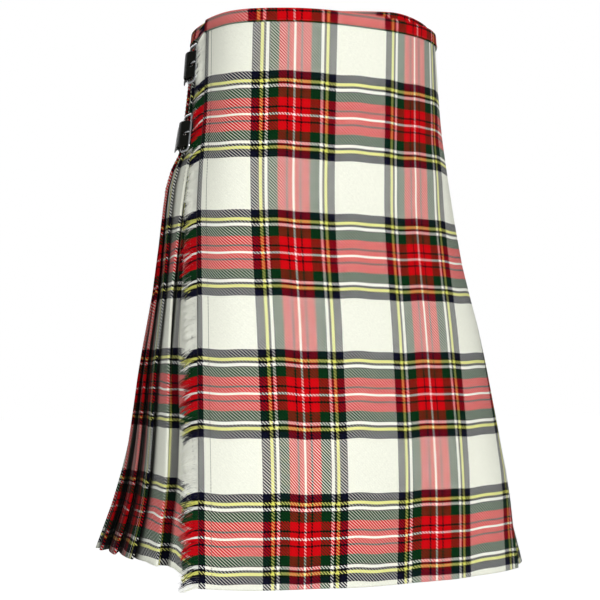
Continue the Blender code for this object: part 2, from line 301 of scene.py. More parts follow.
def pleatHeight(pleat, down):
    height = smoothColumn(pleats["heights"], 1, down)
    if pleat >= pleats["count"] - 1:
        return np.minimum(height, pleats["tuckedHeight"])
    return height * (1 + pleats["heightSway"] * opened(down) * swayed(pleat, *pleats["heightTurn"]))


def underfold(down):
    return pleats["underfoldShare"] * reveal(down)


def pleatsTop(down):
    return layer + smoothColumn(pleats["heights"], 1, down) + cloth["wall"] / 2


straps = {
    "width": 0.03,
    "wall": 0.0016,
    "chapeWall": 0.0012,
    "places": (("upper_right", -1, 0.042), ("lower_right", -1, 0.122), ("left", 1, 0.042)),
}


def apronLift(station, down):
    overStraps = cloth["foldCorner"] + 3 * cloth["seamGap"] + straps["wall"] + cloth["wall"] / 2
    tucked = np.minimum(smoothColumn(pleats["heights"], 1, down), pleats["tuckedHeight"])
    right = layer + tucked + cloth["wall"] / 2 + overStraps
    left = layer + pleatHeight(0, down)
    riseRight = 1 - ease(station, *apron["riseRight"])
    riseLeft = np.clip((station - apron["riseLeft"]) / (leftEdge(down) - apron["riseLeft"]), 0, 1)
    return layer + (right - layer) * riseRight + (left - layer) * riseLeft


# How the cloth hangs. Creases: station and down of the middle, half width across, half length
# down, slant (metres across for each metre down) and height (below 0 for a trough). Weft: height,
# length and turn of each wave. Pull: station, and how far off it the warp lies at waist and hem

drape = {
    "creases": (
        (-0.105, 0.56, 0.02, 0.16, 0.06, 0.0022),
        (-0.06, 0.59, 0.016, 0.11, 0.02, -0.002),
        (-0.01, 0.575, 0.024, 0.15, -0.03, 0.0026),
        (0.05, 0.6, 0.018, 0.12, -0.04, -0.0022),
        (0.095, 0.56, 0.022, 0.17, -0.02, 0.003),
        (0.135, 0.585, 0.015, 0.13, 0.03, -0.0024),
        (-0.07, 0.15, 0.05, 0.022, 0.4, 0.0009),
        (0.06, 0.175, 0.06, 0.02, -0.5, 0.001),
        (0.12, 0.12, 0.035, 0.018, -0.8, -0.0009),
        (-0.03, 0.33, 0.06, 0.06, 0.25, 0.0012),
    ),
    "fade": (0.12, 0.165),
    "flank": ((0, 0), (0.265, 0), (0.3, 0.002), (0.335, 0.0042), (0.38, 0.0053), (0.45, 0.0062),
              (0.5, 0.0062), (0.535, 0.0044), (0.57, 0.0014), (0.6155, 0)),
    "flankStart": (0.09, 0.19),
    "flankEnd": (0.3, 0.4),
    "edge": ((0, 0), (0.05, 0.004), (0.1, 0.0075), (0.19, 0.008), (0.25, 0.0075), (0.32, 0.005),
             (0.38, 0.0028), (0.45, 0.0006), (0.52, -0.0007), (0.6155, -0.0018)),
    "edgeFade": (0, 0.035),
    "weft": ((0.0007, 0.093, 0.4), (0.0004, 0.041, 2)),
    "weftTurn": 3,
    "pull": ((-0.185, 0, 0), (-0.15, -0.0025, 0.002), (-0.123, -0.0047, 0.0036),
             (-0.075, -0.0014, 0.0043), (-0.027, -0.0003, 0.0033), (0.027, -0.004, -0.0003),
             (0.075, 0.0036, -0.0036), (0.123, 0.001, -0.0025), (0.177, 0, 0.004), (0.2, 0, 0.004)),
}


def pulled(station, down):
    # how far the warp lies off the straight there, across the cloth
    row = np.clip(np.asarray(down) / clothLength, 0, 1)
    stations, *pulls = zip(*drape["pull"])
    high, low = (np.interp(station, stations, pull) for pull in pulls)
    edge = wovenEdge(down)
    atEdge = (edge + apron["right"]) * (1 - ease(station - edge, *drape["edgeFade"]))
    return high + (low - high) * row - atEdge


def wavered(station, down):
    # how far the weft lies above or below the straight there
    total = 0.0
    for height, length, turn in drape["weft"]:
        angle = station / length * 2 * math.pi + turn + drape["weftTurn"] * down / clothLength
        total = total + height * np.sin(angle)
    return total


def wovenEdge(down):
    return -apron["right"] + tableAt(drape["edge"], down)


def flankAt(station, down):
    # the wearer's left side stands out a little between the hip and the hem
    across = ease(station, *drape["flankStart"]) * (1 - ease(station, *drape["flankEnd"]))
    return tableAt(drape["flank"], down) * across


def drapeHeight(station, down):
    total = np.zeros(np.broadcast(station, down).shape)
    for middle, depth, across, along, slant, height in drape["creases"]:
        offset = (station - middle - slant * (down - depth)) / across
        total = total + height * np.exp(-offset ** 2 - ((down - depth) / along) ** 2)
    return total * (1 - ease(np.abs(station), *drape["fade"])) + flankAt(station, down)


# Mesh helpers


def addMesh(name, points, faces, places=None, hollows=None, smoothShade=True):
    # places holds each point's (across, down) on the flat cloth; the next list holds the shade painted
    # at each point, most where it lies deep in a fold
    mesh = bpy.data.meshes.new(name)
    mesh.from_pydata(np.asarray(points).reshape(-1, 3).tolist(), [], faces)
    corners = np.empty(len(mesh.loops), dtype=np.int32)
    mesh.loops.foreach_get("vertex_index", corners)
    # the second UV layer carries the painted shade, not a place on the cloth
    for label, values in (("cloth", places), ("hollow", hollows)):
        if values is not None:
            layerUv = mesh.uv_layers.new(name=label)
            layerUv.data.foreach_set("uv", np.asarray(values).reshape(-1, 2)[corners].ravel())
    if smoothShade:
        mesh.shade_smooth()
    return addObject(name, mesh)


def gridFaces(rows, columns):
    index = np.arange(rows * columns).reshape(rows, columns)
    faces = np.stack([index[:-1, :-1], index[1:, :-1], index[1:, 1:], index[:-1, 1:]], axis=-1)
    return faces.reshape(-1, 4).tolist()


def thicken(piece, wall=cloth["wall"], even=False):
    thick = piece.modifiers.new("wall", "SOLIDIFY")
    thick.thickness, thick.offset, thick.use_even_offset = wall, 0, even
    return piece


def tubes(name, paths, radii, sides, outward, places=None, closed=False):
    # round threads or wires: paths is (tubes, points, 3), radii fits it, outward gives each a side
    paths = np.asarray(paths, dtype=float)
    count, length = paths.shape[:2]
    radii = np.broadcast_to(radii, (count, length))
    if closed:
        tangent = np.roll(paths, -1, axis=1) - np.roll(paths, 1, axis=1)
    else:
        tangent = np.gradient(paths, axis=1)
    tangent = unit(tangent)
    across = unit(np.cross(tangent, np.broadcast_to(outward, paths.shape)))
    up = np.cross(across, tangent)
    angle = np.arange(sides) / sides * 2 * math.pi
    ring = across[:, :, None] * np.cos(angle)[:, None] + up[:, :, None] * np.sin(angle)[:, None]
    points = paths[:, :, None] + ring * radii[:, :, None, None]
    index = np.arange(count * length * sides).reshape(count, length, sides)
    after = np.roll(index, -1, axis=2)
    walls = np.stack([index, after, np.roll(after, -1, axis=1), np.roll(index, -1, axis=1)], axis=-1)
    faces = (walls if closed else walls[:, :-1]).reshape(-1, 4).tolist()
    if not closed:
        faces += index[:, 0, ::-1].tolist() + index[:, -1].tolist()
    if places is not None:
        places = np.broadcast_to(np.asarray(places)[:, None, None, :], (count, length, sides, 2))
    return addMesh(name, points, faces, places)


def finish(piece, look, slotName=None, *nodes):
    piece.data.materials.append(look)
    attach(piece, "root")
    if nodes:
        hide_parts(*nodes)
    return piece


def clothSheet(name, nodes, points, places, hollows=None):
    # a thin wall of cloth on a grid of points
    piece = addMesh(name, points, gridFaces(*points.shape[:2]), places, hollows)
    return finish(thicken(piece), clothLook, "tartan", *nodes)


# Materials. The tartan is the same sett across and down: half of it, from the middle of the white
# ground to the middle of the red band, as the threads of each stripe in parts of a half repeat

tartan = {
    "repeat": 0.15,
    "firstGround": 0.0378,
    "yarn": 0.00086,
    # shade painted at the edges of the warp and weft floats
    "warpShade": 0.6,
    "weftShade": 1.5,
    # how much the shade painted deep in the folds darkens the cloth
    "hollowShade": 0.93,
    "sett": (
        ("ground", 198), ("navy", 43.5), ("black", 19), ("yellow", 22), ("black", 18), ("white", 22),
        ("black", 8), ("green", 71), ("red", 62.5), ("black", 15.5), ("red", 37.5), ("white", 8.5),
    ),
    "colors": {
        "ground": (0.925, 0.93, 0.848),
        "navy": (0.007, 0.007, 0.026),
        "black": (0.005, 0.005, 0.007),
        "yellow": (0.8, 0.795, 0.195),
        "white": (0.945, 0.945, 0.9),
        "green": (0.004, 0.05, 0.012),
        "red": (0.67, 0.003, 0.009),
    },
}
settTotal = sum(width for name, width in tartan["sett"])


def nodeTools(tree):
    def feed(inputs, feeds):
        # give each input a value, or a link from another node's output
        for label, value in feeds.items():
            if isinstance(value, bpy.types.NodeSocket):
                tree.links.new(value, inputs[label])
            else:
                inputs[label].default_value = value

    def add(kind, feeds=None, **values):
        node = tree.nodes.new(kind)
        for name, value in values.items():
            setattr(node, name, value)
        feed(node.inputs, feeds or {})
        return node

    def calc(operation, *inputs):
        return add("ShaderNodeMath", dict(enumerate(inputs)), operation=operation).outputs[0]

    def mixColor(blend, share, *colors):
        first, second = ((*color, 1) if isinstance(color, tuple) else color for color in colors)
        feeds = {0: share, 6: first, 7: second}
        return add("ShaderNodeMix", feeds, data_type="RGBA", blend_type=blend).outputs[2]

    return add, feed, calc, mixColor


def newGroup(name, inputs, outputs):
    # a node group that takes a vector and the named inputs, each a number or a colour
    group = bpy.data.node_groups.new(name, "ShaderNodeTree")
    newSocket = group.interface.new_socket
    newSocket("Vector", in_out="INPUT", socket_type="NodeSocketVector")
    for label, value in inputs.items():
        kind = "Color" if isinstance(value, tuple) else "Float"
        newSocket(label, in_out="INPUT", socket_type="NodeSocket" + kind).default_value = value
    for label, kind in outputs.items():
        newSocket(label, in_out="OUTPUT", socket_type="NodeSocket" + kind)
    add, feed, calc, mixColor = nodeTools(group)
    given, out = add("NodeGroupInput").outputs, add("NodeGroupOutput").inputs
    return group, given, out, add, feed, calc, mixColor


def addNoise(add, vector, scale, detail):
    return add("ShaderNodeTexNoise", {"Vector": vector, "Scale": scale, "Detail": detail}).outputs[0]


def objectNoise(add, scale, detail):
    return addNoise(add, add("ShaderNodeTexCoord").outputs["Object"], scale, detail)


def addScaled(add, vector, scale):
    return add("ShaderNodeVectorMath", {0: vector, "Scale": scale}, operation="SCALE").outputs[0]


def settRamp(ramp):
    start = 0.0
    while len(ramp.elements) > 1:
        ramp.elements.remove(ramp.elements[-1])
    ramp.interpolation = "CONSTANT"
    for index, (name, width) in enumerate(tartan["sett"]):
        stop = ramp.elements[0] if index == 0 else ramp.elements.new(start / settTotal)
        stop.position = start / settTotal
        stop.color = (*tartan["colors"][name], 1)
        start += width


def makeWeave():
    # the colour of the yarn on top at each place, in a twill of two over and two under, with shade
    # painted at the edges of each float
    group, given, out, add, feed, calc, mixColor = newGroup(
        "tartan weave",
        {
            "Repeat": tartan["repeat"],
            "Ground": tartan["firstGround"],
            "Yarn": tartan["yarn"],
            "Warp shade": tartan["warpShade"],
            "Weft shade": tartan["weftShade"],
        },
        {"Color": "Color", "Weft": "Color", "Height": "Float"},
    )
    across, down = add("ShaderNodeSeparateXYZ", {0: given["Vector"]}).outputs[:2]
    half = calc("MULTIPLY", given["Repeat"], 0.5)
    threads = []
    for place in (across, calc("SUBTRACT", down, given["Ground"])):
        ramp = add("ShaderNodeValToRGB", {0: calc("DIVIDE", calc("PINGPONG", place, half), half)})
        settRamp(ramp.color_ramp)
        threads.append(ramp.outputs[0])
    yarns = [calc("DIVIDE", place, given["Yarn"]) for place in (across, down)]
    twill = calc("FLOORED_MODULO", calc("SUBTRACT", *yarns), 4.0)
    warpOver = calc("LESS_THAN", twill, 2.0)
    beside = calc("ABSOLUTE", calc("SUBTRACT", calc("FLOORED_MODULO", twill, 2.0), 1.0))
    # the warp stands higher than the beaten weft, so less of its width sinks into shade
    spread = calc("SUBTRACT", given["Warp shade"], given["Weft shade"])
    # painted shade at the edges of each float, tinted by the yarn beneath
    floatEdgeShade = calc("POWER", beside, calc("MULTIPLY_ADD", warpOver, spread, given["Weft shade"]))
    rounds = []
    for yarn in yarns:
        offset = calc("MULTIPLY_ADD", calc("FRACT", yarn), 2.0, -1.0)
        rounds.append(calc("SUBTRACT", 1.0, calc("MULTIPLY", offset, offset)))
    top = mixColor("MIX", warpOver, threads[1], threads[0])
    below = mixColor("MIX", warpOver, *threads)
    feeds = {0: warpOver, 2: rounds[1], 3: rounds[0]}
    height = add("ShaderNodeMix", feeds, data_type="FLOAT").outputs[0]
    feed(out, {"Color": mixColor("MULTIPLY", floatEdgeShade, top, below), "Weft": threads[1], "Height": height})
    return group


# The wool's noises, as waves in a metre across and down: thick places along the weft and along
# the warp, age, and fuzz

wool = {
    "noises": ((260, 1500), (1500, 260), (9, 4), (4200, 4200)),
    "detail": 2.0,
    "slub": 0.12,
    "slubHeight": 0.6,
    # how much shade is painted where the yarn lies low in the weave
    "shade": 0.3,
    "age": 0.1,
    "agedColor": (0.93, 0.95, 0.8),
    "roughness": (0.14, 0.76),
    "fuzzHeight": 0.5,
    "sockets": {"Sheen Weight": 0.012, "Sheen Roughness": 0.5, "Specular IOR Level": 0.03},
    "clothBump": (0.55, 0.0003),
    "threadBump": (0.3, 0.0002),
    "threadWeave": 0.85,
}


def makeWool():
    # thick places, age, fuzz and shade painted where the yarn lies low, for woven cloth and loose
    # threads
    group, given, out, add, feed, calc, mixColor = newGroup(
        "wool",
        {"Color": (0.8, 0.8, 0.8, 1), "Weave": 0.0, "Slub": wool["slub"], "Shade": wool["shade"]},
        {"Color": "Color", "Roughness": "Float", "Height": "Float"},
    )
    noises = []
    for across, down in wool["noises"]:
        scaled = add("ShaderNodeMapping", {"Vector": given["Vector"], "Scale": (across, down, 1.0)})
        noises.append(addNoise(add, scaled.outputs[0], 1.0, wool["detail"]))
    alongWeft, alongWarp, aged, fuzz = noises
    slub = calc("SUBTRACT", calc("ADD", alongWeft, alongWarp), 1.0)
    bright = calc("MULTIPLY_ADD", calc("MULTIPLY", slub, given["Slub"]), 2.0, 1.0)
    below = calc("SUBTRACT", 1.0, given["Weave"])
    # painted shade where the yarn lies low in the weave
    lowYarnShade = calc("SUBTRACT", 1.0, calc("MULTIPLY", given["Shade"], below))
    toned = addScaled(add, given["Color"], calc("MULTIPLY", bright, lowYarnShade))
    raised = calc("ADD", given["Weave"], calc("MULTIPLY", fuzz, wool["fuzzHeight"]))
    age = calc("MULTIPLY", aged, wool["age"])
    feed(out, {
        "Color": mixColor("MULTIPLY", age, toned, wool["agedColor"]),
        "Roughness": calc("MULTIPLY_ADD", fuzz, *wool["roughness"]),
        "Height": calc("ADD", raised, calc("MULTIPLY", slub, wool["slubHeight"])),
    })
    return group


weaveGroup, woolGroup = makeWeave(), makeWool()


def newMaterial(name, sockets):
    # the material, its shader's sockets and the tools for its nodes
    made = bpy.data.materials.new(name)
    made.use_nodes = True
    shader = made.node_tree.nodes["Principled BSDF"].inputs
    add, feed, calc, mixColor = nodeTools(made.node_tree)
    feed(shader, sockets)
    return made, shader, add, feed, calc, mixColor


def coat(shader, add, feed, color, roughness, height, strength, distance):
    feeds = {"Height": height, "Strength": strength, "Distance": distance}
    bump = add("ShaderNodeBump", feeds).outputs[0]
    feed(shader, {"Base Color": color, "Roughness": roughness, "Normal": bump})


def makeWoollen(name, yarns, bump, weave=None):
    # woven cloth with shade painted deep in its folds, or loose threads at one height of the weave
    made, shader, add, feed, calc = newMaterial(name, wool["sockets"])[:5]
    place = add("ShaderNodeUVMap", uv_map="cloth").outputs[0]
    woven = add("ShaderNodeGroup", {"Vector": place}, node_tree=weaveGroup).outputs
    feeds = {"Vector": place, "Color": woven[yarns], "Weave": weave or woven["Height"]}
    woollen = add("ShaderNodeGroup", feeds, node_tree=woolGroup).outputs
    color = woollen["Color"]
    if weave is None:
        # painted shade: the colour darkens by the shade painted in the second UV layer
        folded = add("ShaderNodeUVMap", uv_map="hollow").outputs[0]
        hollow = add("ShaderNodeSeparateXYZ", {0: folded}).outputs[0]
        color = addScaled(add, color, calc("MULTIPLY_ADD", hollow, -tartan["hollowShade"], 1.0))
    coat(shader, add, feed, color, woollen["Roughness"], woollen["Height"], *bump)
    return made


# Sewing, leather and steel: noises as scale and detail, roughness as spread and least

thread = {
    "sockets": {"Specular IOR Level": 0.3},
    "noise": (2500, 2),
    "darkest": 0.72,
    "roughness": (0.2, 0.5),
    "bump": (0.4, 0.0001),
}

leather = {
    "sockets": {"Specular IOR Level": 0.12},
    "cells": 900.0,
    "creaseRise": 4.0,
    "broad": (60, 4),
    "fine": (700, 3),
    "fineHeight": 0.6,
    "worn": {"From Min": 0.53, "From Max": 0.62, "To Min": 0.0, "To Max": 0.7},
    "colors": ((0.0025, 0.0028, 0.002), (0.006, 0.0064, 0.0045)),
    "wornColor": (0.04, 0.036, 0.03),
    "roughness": (0.25, 0.3),
    "bump": (0.35, 0.0002),
}

steel = {
    "sockets": {"Metallic": 1.0},
    "broad": (120, 3),
    "fine": (1800, 2),
    "colors": ((0.58, 0.59, 0.6), (0.74, 0.75, 0.76)),
    "roughness": (0.16, 0.08),
    "bump": (0.06, 0.0001),
}


def makeSewing(name, color):
    made, shader, add, feed, calc, mixColor = newMaterial(name, thread["sockets"])
    noise = objectNoise(add, *thread["noise"])
    mixed = mixColor("MIX", noise, tuple(part * thread["darkest"] for part in color), color)
    rough = calc("MULTIPLY_ADD", noise, *thread["roughness"])
    coat(shader, add, feed, mixed, rough, noise, *thread["bump"])
    return made


def makeLeather():
    made, shader, add, feed, calc, mixColor = newMaterial("black leather", leather["sockets"])
    place = add("ShaderNodeTexCoord").outputs["Object"]
    feeds = {"Vector": place, "Scale": leather["cells"]}
    cells = add("ShaderNodeTexVoronoi", feeds, feature="DISTANCE_TO_EDGE").outputs["Distance"]
    crease = calc("MINIMUM", calc("MULTIPLY", cells, leather["creaseRise"]), 1.0)
    broad, fine = (objectNoise(add, *leather[name]) for name in ("broad", "fine"))
    edges = add("ShaderNodeNewGeometry").outputs["Pointiness"]
    worn = add("ShaderNodeMapRange", {"Value": edges, **leather["worn"]}).outputs[0]
    mixed = mixColor("MIX", worn, mixColor("MIX", broad, *leather["colors"]), leather["wornColor"])
    rough = calc("MULTIPLY_ADD", fine, *leather["roughness"])
    grain = calc("ADD", crease, calc("MULTIPLY", fine, leather["fineHeight"]))
    coat(shader, add, feed, mixed, rough, grain, *leather["bump"])
    return made


def makeSteel():
    made, shader, add, feed, calc, mixColor = newMaterial("polished steel", steel["sockets"])
    broad, fine = (objectNoise(add, *steel[name]) for name in ("broad", "fine"))
    mixed = mixColor("MIX", broad, *steel["colors"])
    rough = calc("MULTIPLY_ADD", broad, *steel["roughness"])
    coat(shader, add, feed, mixed, rough, fine, *steel["bump"])
    return made


studio = {
    "floorHeight": -1.15,
    "floorSize": 60.0,
    "world": ((0.93, 0.95, 0.97), 0.3),
    "background": ((1, 1, 1), 1),
    "floorSockets": {"Roughness": 0.7, "Emission Color": (1, 1, 1, 1)},
    "floorNoise": (3, 3),
    "floorColors": ((0.78, 0.78, 0.77), (0.82, 0.82, 0.81)),
    "floorGlow": 0.8,
    "lamps": (
        ("key", (1.6, -2.2, 0.4), 1.2, 15.0),
        ("fill", (-1.2, -2.8, 0.1), 1.2, 67.0),
        ("back", (0.4, 2.6, 1.2), 2.0, 26.0),
    ),
    "aim": (0, 0, -0.32),
}


def makeFloor():
    made, shader, add, feed, calc, mixColor = newMaterial("pale floor", studio["floorSockets"])
    seen = add("ShaderNodeLightPath").outputs["Is Camera Ray"]
    feed(shader, {
        "Base Color": mixColor("MIX", objectNoise(add, *studio["floorNoise"]), *studio["floorColors"]),
        "Emission Strength": calc("MULTIPLY", seen, studio["floorGlow"]),
    })
    return made


clothLook = makeWoollen("tartan wool", "Color", wool["clothBump"])
threadLook = makeWoollen("weft threads", "Weft", wool["threadBump"], wool["threadWeave"])
leatherLook, steelLook = makeLeather(), makeSteel()
creamSewing = makeSewing("cream sewing thread", (0.62, 0.6, 0.5))
redSewing = makeSewing("red sewing thread", (0.35, 0.01, 0.012))
blackSewing = makeSewing("black sewing thread", (0.045, 0.042, 0.04))
print("materials made")


# Cloth panels

panels = {
    "apronColumns": 149,
    "apronRows": 236,
    "underColumns": 90,
    "underRows": 110,
    "underLastShare": 27 / 29,
    "pleatRows": 128,
    "faceColumns": 14,
    "returnColumns": 4,
    "arcSteps": 5,
    "billow": 0.0012,
    "billowSway": 0.5,
    "billowTurn": 2.9,
}


def foldOver(fold, top, inner, innerLift):
    # columns round a turned edge and back to its hidden inner fold: station, lift and cloth used
    radius = foldLayer / 2
    columns = []
    for angle in np.linspace(math.pi / 2, -math.pi / 2, panels["arcSteps"]):
        station = fold - radius + radius * math.cos(angle)
        lift = top - radius + radius * math.sin(angle)
        columns.append((station, lift, radius * (math.pi / 2 - angle) - radius))
    used = radius * math.pi - radius
    start, startLift = fold - radius, top - foldLayer
    for share in np.linspace(0, 1, panels["returnColumns"] + 1)[1:]:
        station = start + (inner - start) * share
        lift = startLift + (innerLift - startLift) * share
        columns.append((station, lift, used + (start - inner) * share))
    return columns


def stack(columns, rows):
    # columns of places to one array for each measure, with a row for each distance down
    spread = ([np.broadcast_to(part, rows) for part in parts] for parts in zip(*columns))
    return [np.stack(parts, axis=1) for parts in spread]


def clothPanel(name, node, downs, stations, lifts, across, raised=0.0, hollow=0.0):
    # across is each point's place across the flat cloth, raised is how far it has swung up, and
    # the last one is the shade painted on it, most deep in a fold
    points = onForm(stations, lifts, downs - raised)
    places = np.stack([across, downs + wavered(stations, downs)], axis=-1)
    hollows = np.stack(np.broadcast_arrays(np.zeros(stations.shape) + hollow, 0.0), axis=-1)
    return clothSheet(name, [node], points, places, hollows)


def addOverApron():
    downs = np.linspace(0, clothLength, panels["apronRows"])
    edge = leftEdge(downs)
    radius = foldLayer / 2
    columns = []
    for share in shares(panels["apronColumns"]):
        station = wovenEdge(downs) + share * (edge - radius - wovenEdge(downs))
        across = station + pulled(station, downs)
        columns.append((station, apronLift(station, downs) + drapeHeight(station, downs), across))
    top = layer + pleatHeight(0, downs)
    for station, lift, used in foldOver(edge, top, edge - underfold(downs), layer + foldLayer):
        columns.append((station, lift + flankAt(station, downs), edge + pulled(edge, downs) + used))
    return clothPanel("overApron", "over_apron", downs[:, None], *stack(columns, downs.size))


def addUnderApron():
    downs = np.linspace(0, clothLength, panels["underRows"])
    start = -pleats["lastFold"] - underfold(downs)
    end = -apron["right"] + panels["underLastShare"] * (leftEdge(downs) + apron["right"])
    columns = []
    for share in np.linspace(0, 1, panels["underColumns"]):
        station = start + share * (end - start)
        lift = layer * (1 - ease(station, -pleats["lastFold"], apron["underSettle"]))
        columns.append((station, lift + drapeHeight(station, downs), station + apron["underSett"]))
    return clothPanel("underApron", "under_apron", downs[:, None], *stack(columns, downs.size))


# The pleats at the wearer's right, by the pleat's number or the distance down: the place in the
# sett at each fold, the hem's swing up, the swell under the lower strap, the deep fold beside the
# fringe, and the shade painted on the pleats round the side

rightSide = {
    "settAtFold": {22: 0.8063, 21: 0.766, 20: 0.77, 19: 0.715, 18: 0.5383, 17: 0.5397, 16: 0.4222},
    "raised": ((13, 0), (14, 0.006), (15.5, 0.017), (17, 0.023), (19.5, 0.023), (20.3, 0.018),
               (21, 0.008), (22, 0)),
    "raisedFrom": (0.3, 0.6155),
    "raisedCurve": 1.3,
    "swell": ((0, 0), (0.14, 0), (0.158, 0.0056), (0.18, 0.0078), (0.205, 0.0068),
              (0.245, 0.0038), (0.3, 0.0006), (0.4, 0), (0.48, -0.002), (0.56, -0.004),
              (0.6155, -0.0036)),
    "swellPleats": ((13.5, 0), (15.5, 1), (18.5, 1), (20.5, 0)),
    "troughPleat": 21,
    "troughFromFold": ((0, 0.0205), (0.31, 0.0225), (0.4, 0.0262), (0.46, 0.0286), (0.508, 0.0355),
                       (0.568, 0.0492), (0.6155, 0.05)),
    "stripeFromFold": ((0.36, 0.0515), (0.44, 0.0555)),
    "troughWidth": ((0, 0.002), (0.19, 0.002), (0.3, 0.0032), (0.38, 0.0062), (0.45, 0.0092),
                    (0.508, 0.01), (0.568, 0.014), (0.6155, 0.0145)),
    "ridgeHeight": ((0, 0), (0.19, 0), (0.3, 0.004), (0.38, 0.0062), (0.45, 0.0078),
                    (0.6155, 0.0086)),
    "troughDepth": 0.0018,
    "troughSett": 0.013,
    "troughFloor": 0.6,
    "ridgeEnd": 0.62,
    "troughColumns": 14,
    # shade painted across the deep fold
    "troughPaintedShade": ((0, 0.4), (0.15, 0.55), (0.4, 0.75), (0.6, 0.8), (0.8, 0.4), (1, 0)),
    # shade painted on the pleats round the wearer's right side, by pleat number
    "shade": ((14, 0), (15.5, 0.45), (17.6, 0.62), (18.2, 0.4), (18.9, 0.18), (19.2, 0)),
    "swungPleat": 20,
    "swung": ((0.2, 0), (0.3, -0.005), (0.368, 0.0005), (0.4, 0.003), (0.46, 0.0045),
              (0.508, 0.0025), (0.568, -0.004), (0.598, -0.003), (0.6155, -0.002)),
}


def pleatNumber(station, down):
    return (station - leftEdge(down)) / reveal(down)


def raisedAt(station, down):
    share = tableAt(rightSide["raised"], pleatNumber(station, down))
    return share * ease(down, *rightSide["raisedFrom"]) ** rightSide["raisedCurve"]


def swellAt(station, down):
    across = tableAt(rightSide["swellPleats"], pleatNumber(station, down))
    return tableAt(rightSide["swell"], down) * across + flankAt(station, down)


def troughColumns(fold, start, height, downs):
    # the deep soft fold in the first pleat beside the fringe: its left wall swallows some stripes
    width, ridge = tableAt(rightSide["troughWidth"], downs), tableAt(rightSide["ridgeHeight"], downs)
    left = fold - tableAt(rightSide["troughFromFold"], downs)
    sett = rightSide["settAtFold"][rightSide["troughPleat"]]
    stripe, floor = sett - tableAt(rightSide["stripeFromFold"], downs), rightSide["troughFloor"]
    columns = []

    def addColumn(station, across, dip, hollow):
        lift = layer + height * (station - start) / (fold - start) + dip
        columns.append((station, lift, across, hollow))

    for share in shares(panels["faceColumns"]):
        station = start + share * (left - start)
        # shade painted across the face, as on the other pleats
        hollow = tableAt(pleats["hollow"], share * floor)
        addColumn(station, stripe - (left - station), ridge * share ** 2, hollow)
    for share in shares(rightSide["troughColumns"]):
        station = left + share * width
        swallowed = stripe + share / floor * rightSide["troughSett"]
        dip = ridge * (1 - ease(share, 0, rightSide["ridgeEnd"]))
        dip = dip - rightSide["troughDepth"] * math.sin(math.pi * share)
        # shade painted in the deep fold
        hollow = tableAt(rightSide["troughPaintedShade"], share)
        addColumn(station, swallowed if share < floor else sett - (fold - station), dip, hollow)
    for share in shares(panels["faceColumns"]):
        station = left + width + share * (fold - foldLayer / 2 - left - width)
        addColumn(station, sett - (fold - station), 0.0, 0.0)
    return columns


def addPleats(name, first, last, node):
    downs = np.linspace(0, clothLength, panels["pleatRows"])
    radius = foldLayer / 2
    columns = []
    for pleat in range(first, last + 1):
        fold, height = foldStation(pleat, downs), pleatHeight(pleat, downs)
        if pleat == rightSide["swungPleat"]:
            fold = fold + tableAt(rightSide["swung"], downs)
        start = foldStation(pleat - 1, downs) - underfold(downs)
        center = rightSide["settAtFold"].get(pleat, apron["leftTop"] + pleats["settStep"] * pleat)
        if pleat == rightSide["troughPleat"]:
            columns += troughColumns(fold, start, height, downs)
        else:
            for share in shares(panels["faceColumns"]):
                station = start + share * (fold - radius - start)
                billow = panels["billow"] * opened(downs) * math.sin(math.pi * share)
                billow = billow * (1 + panels["billowSway"] * swayed(pleat, panels["billowTurn"]))
                lift = layer + height * (station - start) / (fold - start) + billow
                # shade painted across the face, darkest just past the fold before it
                hollow = tableAt(pleats["hollow"], share)
                columns.append((station, lift, center - (fold - station), hollow))
        turn = fold - underfold(downs)
        folded = foldOver(fold, layer + height, turn, layer + foldLayer)
        # the hidden return behind each turned edge gets the full painted shade
        for index, (station, lift, used) in enumerate(folded):
            columns.append((station, lift, center + used, float(index >= panels["arcSteps"])))
        columns.append((turn - radius, layer + radius, center + underfold(downs) + radius, 1.0))
    stations, lifts, across, hollow = stack(columns, downs.size)
    downs = downs[:, None]
    lifts = lifts + swellAt(stations, downs)
    # the painted shade grows down the cloth, and more shade is painted on the pleats round the wearer's
    # right side
    hollow = hollow * tableAt(pleats["hollowDown"], downs)
    hollow = 1 - (1 - hollow) * (1 - tableAt(rightSide["shade"], pleatNumber(stations, downs)))
    return clothPanel(name, node, downs, stations, lifts, across, raisedAt(stations, downs), hollow)


# The waistband. Each row of its crest: share of the way out, rise above that and distance down

band = {
    "depth": 0.013,
    "turn": 0.02,
    "stationStep": 0.0022,
    "tuck": (0.0006, 0.0002, 0.0006),
    "crest": ((0, 0, 0.0004), (0, 0.00035, -0.0007), (0.5, 0, -0.0011), (1, -0.0019, -0.001),
              (1, -0.0007, -0.0007), (1, -0.00015, -0.0001), (1, 0, 0.0008)),
    "faceRows": 7,
    "pucker": 0.00022,
    "puckerLength": 0.0046,
    "settStart": 0.1183,
    "peek": ((-0.06, 0), (-0.04, 0.0004), (-0.02, 0.0026), (0.018, 0.0068), (0.045, 0.0092),
             (0.09, 0.0064), (0.13, 0.0034), (0.165, 0.001)),
    "peekBelow": 0.012,
    "peekRows": 9,
}


def bandOuter(stations):
    edge = leftEdge(0.0)
    carried = np.where(stations < edge, apronLift(stations, 0.0), layer + pleatHeight(0, 0.0))
    inner = carried + (layer - carried) * ease(stations, edge - band["turn"], edge) - cloth["wall"] / 2
    return inner, carried + layer + cloth["foldCorner"]


def bandSheet(name, nodes, stations, lifts, downs, settShift, used):
    places = np.broadcast_arrays(stations + settShift, used + band["settStart"], lifts)[:2]
    return clothSheet(name, nodes, onForm(stations, lifts, downs), np.stack(places, axis=-1))


